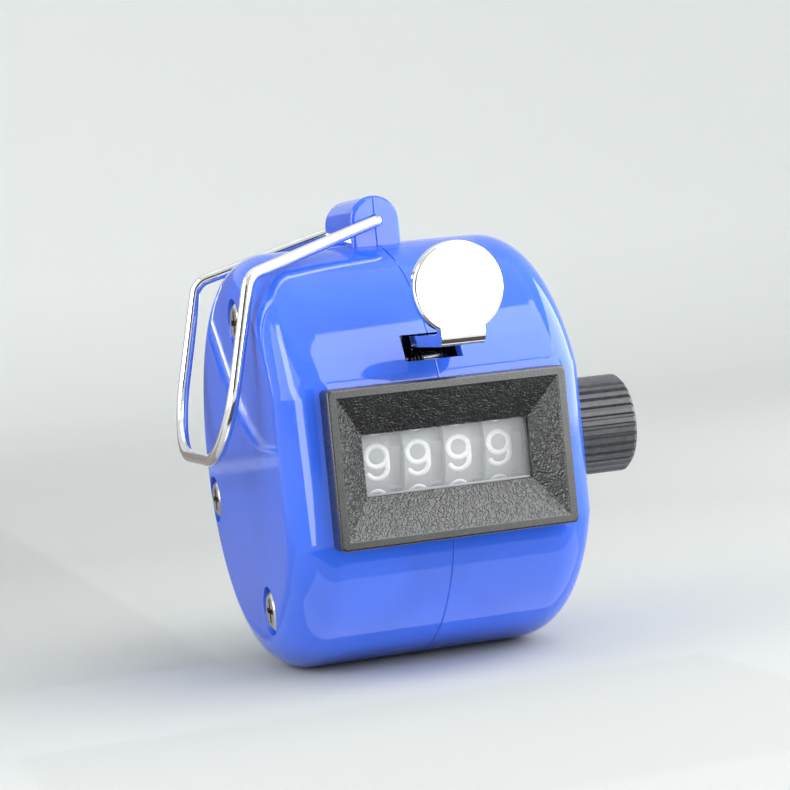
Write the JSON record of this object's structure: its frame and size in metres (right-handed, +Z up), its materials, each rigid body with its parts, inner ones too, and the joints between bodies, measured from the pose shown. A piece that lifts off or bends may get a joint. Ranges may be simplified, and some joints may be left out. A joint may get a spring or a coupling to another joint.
{
  "type": "hand tally counter",
  "caption": "Hand tally counter: round blue two-part case, black framed window over number wheels, thumb lever, ribbed reset knob and wire finger loop.",
  "frame": {"origin": "centre of the round case, on the seam between its two shells, where the hand closes round it", "axes": "+X along the case and number-wheel axis towards the reset knob, +Y from the window to the back, +Z up as the figures read upright"},
  "size_m": [0.0476, 0.0562, 0.0534],
  "materials": {
    "blue_shell": "high gloss injection-moulded styrene",
    "black_bezel": "fine leather grain on the slopes, satin rim",
    "clear_lens": "clear moulded window",
    "wheel_plastic": "grey moulded wheel with white figures",
    "black_knob": "satin ribbed",
    "lever_plate": "bright nickel plate",
    "bail_wire": "bright nickel-plated wire",
    "frame_steel": "zinc-plated sheet",
    "shaft_steel": "drawn bar",
    "spring_steel": "spring wire and strip",
    "fastener_steel": "nickel-plated screws and rivets",
    "washer_fibre": "natural nylon"
  },
  "bodies": {
    "case": {"left_shell": "blue_shell", "right_shell": "blue_shell", "window_bezel": "black_bezel", "window_lens": "clear_lens", "left_frame_plate": "frame_steel", "right_frame_plate": "frame_steel", "upper_tie_bar": "frame_steel", "detent_bar": "frame_steel", "detent_rivets": "fastener_steel", "detent_spring": "spring_steel", "frame_screws": "fastener_steel", "case_screws": "fastener_steel", "lever_pin": "shaft_steel", "lever_pin_clips": "spring_steel", "lever_return_spring": "spring_steel", "friction_washer": "washer_fibre", "wheel_spacer": "washer_fibre"},
    "lever": {"thumb_lever": "lever_plate", "pawl_pin": "shaft_steel", "pawl_spring": "spring_steel"},
    "comb": {"comb_pawl": "frame_steel"},
    "reset": {"reset_shaft": "shaft_steel", "reset_knob": "black_knob", "shaft_clips": "spring_steel"},
    "bail": {"finger_bail": "bail_wire"},
    "units": {"units_wheel": "wheel_plastic", "units_reset_click": "spring_steel"},
    "tens": {"tens_wheel": "wheel_plastic", "tens_reset_click": "spring_steel"},
    "hundreds": {"hundreds_wheel": "wheel_plastic", "hundreds_reset_click": "spring_steel"},
    "thousands": {"thousands_wheel": "wheel_plastic", "thousands_reset_click": "spring_steel"}
  },
  "joints": [
    {"name": "lever_press", "type": "hinge", "parent": "case", "child": "lever", "pos_m": [0, -0.0155, 0.0106], "axis": [1, 0, 0], "range_deg": [0, 13], "stiffness_Nm_per_rad": 0.06, "springref_deg": -20.05, "deforming": ["lever_return_spring"]},
    {"name": "comb_swing", "type": "hinge", "parent": "lever", "child": "comb", "pos_m": [0, -0.0148, -0.0105], "axis": [-1, 0, 0], "range_deg": [0, 6], "stiffness_Nm_per_rad": 0.0001, "springref_deg": -28.65, "deforming": ["pawl_spring"]},
    {"name": "reset_turn", "type": "hinge", "parent": "case", "child": "reset", "pos_m": [0, -0.0113, 0.0007], "axis": [1, 0, 0], "continuous": true},
    {"name": "bail_swing", "type": "hinge", "parent": "case", "child": "bail", "pos_m": [0, 0.0018, 0.0265], "axis": [0, 1, 0], "range_deg": [0, 210]},
    {"name": "units_turn", "type": "hinge", "parent": "case", "child": "units", "pos_m": [0, -0.0113, 0.0007], "axis": [1, 0, 0], "continuous": true, "deforming": ["detent_spring"]},
    {"name": "tens_turn", "type": "hinge", "parent": "case", "child": "tens", "pos_m": [0, -0.0113, 0.0007], "axis": [1, 0, 0], "continuous": true, "deforming": ["detent_spring"]},
    {"name": "hundreds_turn", "type": "hinge", "parent": "case", "child": "hundreds", "pos_m": [0, -0.0113, 0.0007], "axis": [1, 0, 0], "continuous": true, "deforming": ["detent_spring"]},
    {"name": "thousands_turn", "type": "hinge", "parent": "case", "child": "thousands", "pos_m": [0, -0.0113, 0.0007], "axis": [1, 0, 0], "continuous": true, "deforming": ["detent_spring"]}
  ]
}
